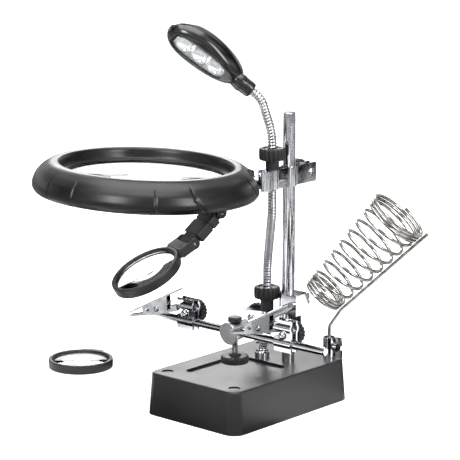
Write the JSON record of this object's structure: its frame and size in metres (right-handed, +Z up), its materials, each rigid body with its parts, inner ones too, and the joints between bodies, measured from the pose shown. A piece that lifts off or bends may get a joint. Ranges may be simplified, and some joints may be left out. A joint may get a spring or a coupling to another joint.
{
  "type": "helping hands clamp",
  "caption": "Bench stand with a weighted base and post that holds a hooded magnifier, a gooseneck lamp, a fold-down loupe, clips on a cross rod and a coil iron rest.",
  "frame": {"origin": "centre of the base's underside, on the surface it stands on", "axes": "+Z up along the post, +Y along the base's long side towards the post end, +X along its short side towards the wing screw"},
  "size_m": [0.2553, 0.2027, 0.2424],
  "materials": {
    "satin_black_paint": "satin powder coat",
    "matte_black_plastic": "fine moulded texture",
    "gloss_black_plastic": "polished moulding",
    "chrome": "bright chrome plate",
    "nickel_steel": "dull nickel plate",
    "lens_glass": "polished lens",
    "clear_plastic": "clear moulding",
    "mirror_reflector": "metallised",
    "led_resin": "clear resin",
    "circuit_board": "solder mask",
    "battery_sleeve": "printed sleeve, plain",
    "cast_ballast": "as cast"
  },
  "bodies": {
    "base": {"base_housing": "satin_black_paint", "base_bottom_cover": "matte_black_plastic", "bottom_screws": "nickel_steel", "battery_tray": "matte_black_plastic", "battery_cells": "battery_sleeve", "battery_contacts": "nickel_steel", "ballast_weight": "cast_ballast", "post": "chrome", "post_nut": "nickel_steel", "neck_ferrule": "chrome", "iron_socket": "chrome", "gooseneck_lower": "chrome", "gooseneck_middle": "chrome", "lower_bracket_plates": "chrome"},
    "battery_door": {"battery_door": "matte_black_plastic"},
    "lower_bracket_knob": {"lower_bracket_knob": "matte_black_plastic"},
    "lower_gland": {"neck_gland_lower": "matte_black_plastic"},
    "upper_bracket": {"upper_bracket_plates": "chrome", "gooseneck_upper": "chrome"},
    "upper_bracket_knob": {"upper_bracket_knob": "matte_black_plastic"},
    "upper_gland": {"neck_gland_upper": "matte_black_plastic"},
    "lamp_head": {"lamp_collar": "chrome", "lamp_upper_shell": "gloss_black_plastic", "lamp_lower_bezel": "gloss_black_plastic", "lamp_window": "clear_plastic", "lamp_reflector": "mirror_reflector", "lamp_leds": "led_resin", "lamp_circuit_board": "circuit_board"},
    "lamp_button": {"lamp_button": "matte_black_plastic"},
    "magnifier_stud": {"magnifier_stud": "chrome"},
    "magnifier": {"magnifier_hood": "gloss_black_plastic", "magnifier_retainer": "matte_black_plastic", "main_lens": "lens_glass", "loupe_upper_pin": "nickel_steel"},
    "loupe_link": {"loupe_link": "matte_black_plastic", "loupe_lower_pin": "nickel_steel"},
    "loupe_socket": {"loupe_socket": "matte_black_plastic"},
    "small_lens": {"small_lens_frame": "matte_black_plastic", "small_lens_glass": "lens_glass"},
    "cross_block": {"cross_block": "chrome"},
    "cross_block_knob": {"cross_block_knob": "matte_black_plastic"},
    "cross_arm": {"cross_arm_rod": "chrome"},
    "arm_head": {"arm_head": "nickel_steel", "head_cap": "matte_black_plastic"},
    "head_thumbscrew": {"head_thumbscrew": "matte_black_plastic"},
    "cross_rod": {"cross_rod": "chrome"},
    "iron_rest": {"iron_rest_leg": "chrome", "iron_coil_ends": "chrome", "iron_coil_middle": "chrome"},
    "iron_wing_screw": {"iron_wing_screw": "chrome"},
    "spare_lens": {"spare_lens_frame": "matte_black_plastic", "spare_lens_glass": "lens_glass"},
    "left_clamp": {"left_clamp_plates": "chrome"},
    "left_clamp_knob": {"left_clamp_knob": "matte_black_plastic"},
    "left_clip": {"left_clip_lower_jaw": "nickel_steel"},
    "left_jaw": {"left_clip_upper_jaw": "nickel_steel"},
    "right_clamp": {"right_clamp_plates": "chrome"},
    "right_clamp_knob": {"right_clamp_knob": "matte_black_plastic"},
    "right_clip": {"right_clip_lower_jaw": "nickel_steel"},
    "right_jaw": {"right_clip_upper_jaw": "nickel_steel"}
  },
  "joints": [
    {"name": "battery_door_lift", "type": "slide", "parent": "base", "child": "battery_door", "axis": [0, 0, -1], "range_m": [0, 0.012]},
    {"name": "lower_knob_turn", "type": "hinge", "parent": "base", "child": "lower_bracket_knob", "pos_m": [-0.00927, 0.01489, 0.053], "axis": [-0.342, 0.9397, 0], "continuous": true},
    {"name": "lower_gland_turn", "type": "hinge", "parent": "base", "child": "lower_gland", "pos_m": [-0.00034, 0.01814, 0.0583], "axis": [0, 0, 1], "continuous": true},
    {"name": "upper_bracket_swing", "type": "hinge", "parent": "base", "child": "upper_bracket", "pos_m": [0.013, 0.023, 0.1455], "axis": [0, 0, 1], "range_deg": [-20, 20], "deforming": ["gooseneck_middle"]},
    {"name": "upper_knob_turn", "type": "hinge", "parent": "upper_bracket", "child": "upper_bracket_knob", "pos_m": [0.013, 0.041, 0.1455], "axis": [-1, 0, 0], "continuous": true},
    {"name": "upper_gland_turn", "type": "hinge", "parent": "upper_bracket", "child": "upper_gland", "pos_m": [0.013, 0.007, 0.1518], "axis": [0, 0, 1], "continuous": true},
    {"name": "lamp_bend", "type": "hinge", "parent": "upper_bracket", "child": "lamp_head", "pos_m": [0.00782, 0.00258, 0.19532], "axis": [0.6657, -0.7462, 0], "range_deg": [-30, 30], "deforming": ["gooseneck_upper"]},
    {"name": "lamp_button_press", "type": "slide", "parent": "lamp_head", "child": "lamp_button", "axis": [0.1709, -0.8194, -0.5472], "range_m": [0, 0.0015], "stiffness_N_per_m": 400, "springref_m": -0.0005},
    {"name": "magnifier_tilt", "type": "hinge", "parent": "upper_bracket", "child": "magnifier_stud", "pos_m": [0.013, -0.001, 0.1455], "axis": [0.6659, -0.7461, 0], "range_deg": [-10, 10]},
    {"name": "magnifier_roll", "type": "hinge", "parent": "magnifier_stud", "child": "magnifier", "pos_m": [0.013, -0.001, 0.1455], "axis": [0.7453, 0.6652, -0.0454], "range_deg": [-20, 20]},
    {"name": "loupe_upper_fold", "type": "hinge", "parent": "magnifier", "child": "loupe_link", "pos_m": [0.016, -0.048, 0.1343], "axis": [-0.9426, 0.3338, 0], "range_deg": [-40, 8]},
    {"name": "loupe_lower_fold", "type": "hinge", "parent": "loupe_link", "child": "loupe_socket", "pos_m": [0.00998, -0.065, 0.11772], "axis": [-0.9426, 0.3338, 0], "range_deg": [-50, 15]},
    {"name": "small_lens_plug", "type": "slide", "parent": "loupe_socket", "child": "small_lens", "axis": [-0.292, -0.8245, -0.4848], "range_m": [0, 0.007]},
    {"name": "cross_block_swing", "type": "hinge", "parent": "base", "child": "cross_block", "pos_m": [0.013, 0.023, 0.06507], "axis": [0, 0, 1], "range_deg": [-5, 25]},
    {"name": "cross_block_knob_turn", "type": "hinge", "parent": "cross_block", "child": "cross_block_knob", "pos_m": [0.013, 0.0313, 0.06257], "axis": [0, 1, 0], "continuous": true},
    {"name": "cross_arm_slide", "type": "slide", "parent": "cross_block", "child": "cross_arm", "axis": [0, -0.9951, -0.0993], "range_m": [0, 0.012]},
    {"name": "arm_head_roll", "type": "hinge", "parent": "cross_arm", "child": "arm_head", "pos_m": [0.0205, -0.0358, 0.0592], "axis": [0, 0.9951, 0.0993], "range_deg": [-12, 12]},
    {"name": "head_thumbscrew_turn", "type": "hinge", "parent": "arm_head", "child": "head_thumbscrew", "pos_m": [0.0205, -0.0358, 0.0396], "axis": [0, 0, 1], "continuous": true},
    {"name": "cross_rod_slide", "type": "slide", "parent": "arm_head", "child": "cross_rod", "axis": [1, 0, 0], "range_m": [0, 0.018]},
    {"name": "left_clamp_turn", "type": "hinge", "parent": "cross_rod", "child": "left_clamp", "pos_m": [-0.018, -0.0358, 0.0592], "axis": [1, 0, 0], "range_deg": [-25, 25]},
    {"name": "left_clamp_knob_turn", "type": "hinge", "parent": "left_clamp", "child": "left_clamp_knob", "pos_m": [-0.018, -0.0358, 0.06395], "axis": [0, 1, 0], "continuous": true},
    {"name": "left_clip_tilt", "type": "hinge", "parent": "left_clamp", "child": "left_clip", "pos_m": [-0.018, -0.0358, 0.0687], "axis": [0.3746, -0.9272, 0], "range_deg": [-12, 4]},
    {"name": "left_jaw_open", "type": "hinge", "parent": "left_clip", "child": "left_jaw", "pos_m": [-0.03632, -0.0432, 0.06537], "axis": [-0.3746, 0.9272, 0], "range_deg": [0, 10], "stiffness_Nm_per_rad": 0.2, "springref_deg": -14.32},
    {"name": "right_clamp_turn", "type": "hinge", "parent": "cross_rod", "child": "right_clamp", "pos_m": [0.0605, -0.0358, 0.0592], "axis": [1, 0, 0], "range_deg": [-25, 25]},
    {"name": "right_clamp_knob_turn", "type": "hinge", "parent": "right_clamp", "child": "right_clamp_knob", "pos_m": [0.0605, -0.0358, 0.06395], "axis": [0, 1, 0], "continuous": true},
    {"name": "right_clip_tilt", "type": "hinge", "parent": "right_clamp", "child": "right_clip", "pos_m": [0.0605, -0.0358, 0.0687], "axis": [0.2588, -0.9659, 0], "range_deg": [-12, 4]},
    {"name": "right_jaw_open", "type": "hinge", "parent": "right_clip", "child": "right_jaw", "pos_m": [0.04473, -0.04003, 0.06675], "axis": [-0.2588, 0.9659, 0], "range_deg": [0, 10], "stiffness_Nm_per_rad": 0.2, "springref_deg": -14.32},
    {"name": "iron_rest_turn", "type": "hinge", "parent": "base", "child": "iron_rest", "pos_m": [0.0268, 0.0471, 0.04], "axis": [0, 0, 1], "range_deg": [-12, 30]},
    {"name": "iron_wing_screw_turn", "type": "hinge", "parent": "base", "child": "iron_wing_screw", "pos_m": [0.0328, 0.0471, 0.0341], "axis": [1, 0, 0], "continuous": true},
    {"name": "spare_lens_lift", "type": "slide", "parent": "base", "child": "spare_lens", "axis": [0, 0, 1], "range_m": [0, 0.02]}
  ]
}
